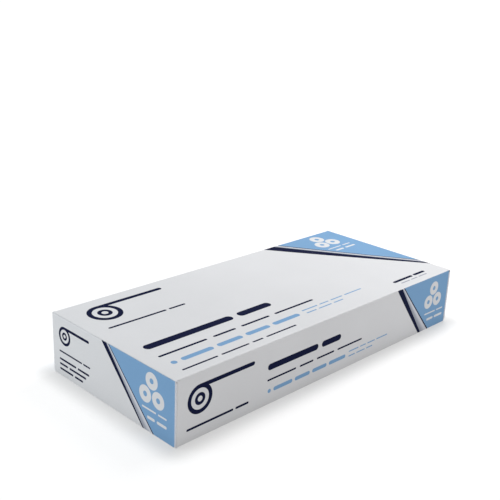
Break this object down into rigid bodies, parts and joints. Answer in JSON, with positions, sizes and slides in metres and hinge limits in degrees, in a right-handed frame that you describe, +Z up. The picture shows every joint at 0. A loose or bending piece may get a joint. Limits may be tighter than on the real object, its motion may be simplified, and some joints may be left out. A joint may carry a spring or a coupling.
{
  "type": "foil refill roll carton",
  "caption": "Closed printed carton of fluted board for kitchen foil refill rolls laid side by side, its ends shut by folded, glued flaps and its back lower edge by a glued seam.",
  "frame": {"origin": "middle of the bottom, on the surface that the carton stands on", "axes": "+X runs along the rolls, -Y faces the printed front, +Z is up"},
  "size_m": [0.465, 0.208, 0.0725],
  "materials": {
    "printed_board": "white lined fluted board, printed and satin varnished"
  },
  "bodies": {
    "root": {"carton": "printed_board"}
  },
  "joints": []
}
